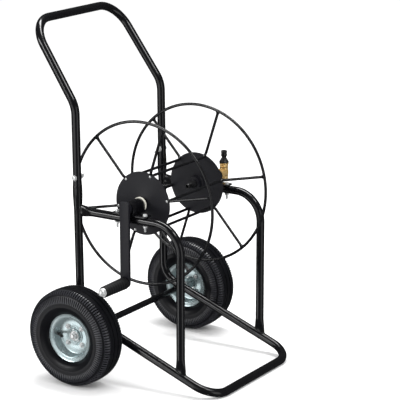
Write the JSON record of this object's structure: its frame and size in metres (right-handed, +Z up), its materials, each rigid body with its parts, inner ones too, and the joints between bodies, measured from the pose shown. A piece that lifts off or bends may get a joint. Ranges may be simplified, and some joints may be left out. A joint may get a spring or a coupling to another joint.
{
  "type": "garden hose reel cart",
  "caption": "Garden hose reel cart: bent black tube frame with a leaning U handle, a hand-cranked wire-rimmed reel between side loops, air tyres and a brass swivel inlet.",
  "frame": {"origin": "centre of the bounding box's footprint, on the floor that the tyres and the front crossbar stand on", "axes": "+Z up; +Y towards the user and the handle, so -Y is the side of the floor crossbar; +X to the right of the user's left hand, the side of the water inlet, so the crank is on -X"},
  "size_m": [0.646, 0.5866, 0.9334],
  "materials": {
    "gloss_black_paint": "gloss black powder coat on bent steel tube",
    "satin_black_paint": "satin black powder coat on sheet steel",
    "black_wire": "gloss black powder coat on steel wire",
    "zinc_rim": "bright zinc-plated stamped steel",
    "zinc_fastener": "bright zinc-plated fasteners",
    "shaft_steel": "plain steel pipe",
    "tyre_rubber": "black tyre rubber, slightly satin",
    "grip_rubber": "black moulded grip",
    "black_plastic": "black moulded plastic",
    "white_nylon": "off-white nylon",
    "brass": "machined brass"
  },
  "bodies": {
    "frame": {"main_frame": "gloss_black_paint", "handle_bar": "gloss_black_paint", "axle_tube": "gloss_black_paint", "axle_rod": "zinc_fastener", "side_loop_left": "gloss_black_paint", "bearing_bracket_left": "gloss_black_paint", "nylon_bush_left": "white_nylon", "handle_bolt_left": "zinc_fastener", "wing_nut_left": "zinc_fastener", "inner_washer_left": "zinc_fastener", "outer_washer_left": "zinc_fastener", "axle_nut_left": "zinc_fastener", "side_loop_right": "gloss_black_paint", "bearing_bracket_right": "gloss_black_paint", "nylon_bush_right": "white_nylon", "handle_bolt_right": "zinc_fastener", "wing_nut_right": "zinc_fastener", "inner_washer_right": "zinc_fastener", "outer_washer_right": "zinc_fastener", "axle_nut_right": "zinc_fastener", "bracket_bolt_left_front": "zinc_fastener", "bracket_bolt_left_rear": "zinc_fastener", "bracket_bolt_right_front": "zinc_fastener", "bracket_bolt_right_rear": "zinc_fastener", "bracket_nut_left_front": "zinc_fastener", "bracket_nut_left_rear": "zinc_fastener", "bracket_nut_right_front": "zinc_fastener", "bracket_nut_right_rear": "zinc_fastener"},
    "wheel_left": {"tyre_left": "tyre_rubber", "rim_outer_left": "zinc_rim", "rim_inner_left": "zinc_rim", "hub_left": "zinc_rim", "valve_left": "black_plastic"},
    "wheel_right": {"tyre_right": "tyre_rubber", "rim_outer_right": "zinc_rim", "rim_inner_right": "zinc_rim", "hub_right": "zinc_rim", "valve_right": "black_plastic"},
    "reel": {"crank_shaft": "shaft_steel", "inlet_shaft": "shaft_steel", "hose_outlet": "black_plastic", "reel_disc_left": "satin_black_paint", "reel_disc_right": "satin_black_paint", "reel_rim_left": "black_wire", "reel_rim_right": "black_wire", "reel_rod_1": "black_wire", "reel_rod_2": "black_wire", "reel_rod_3": "black_wire", "reel_rod_4": "black_wire", "reel_rod_5": "black_wire", "reel_rod_6": "black_wire", "shaft_spacer": "satin_black_paint", "crank_arm": "satin_black_paint", "grip_spindle": "zinc_fastener", "grip_cap": "zinc_fastener"},
    "grip": {"crank_grip": "grip_rubber"},
    "inlet": {"inlet_elbow": "brass", "inlet_collar": "brass", "quick_connector": "black_plastic"}
  },
  "joints": [
    {"name": "wheel_left_roll", "type": "hinge", "parent": "frame", "child": "wheel_left", "pos_m": [-0.26055, 0.09321, 0.13], "axis": [1, 0, 0], "continuous": true},
    {"name": "wheel_right_roll", "type": "hinge", "parent": "frame", "child": "wheel_right", "pos_m": [0.28045, 0.09321, 0.13], "axis": [1, 0, 0], "continuous": true},
    {"name": "reel_spin", "type": "hinge", "parent": "frame", "child": "reel", "pos_m": [-0.00525, -0.03279, 0.4733], "axis": [1, 0, 0], "continuous": true},
    {"name": "grip_spin", "type": "hinge", "parent": "reel", "child": "grip", "pos_m": [-0.25805, -0.03279, 0.2818], "axis": [1, 0, 0], "continuous": true},
    {"name": "inlet_swivel", "type": "hinge", "parent": "reel", "child": "inlet", "pos_m": [0.25795, -0.03279, 0.4733], "axis": [1, 0, 0], "continuous": true}
  ]
}
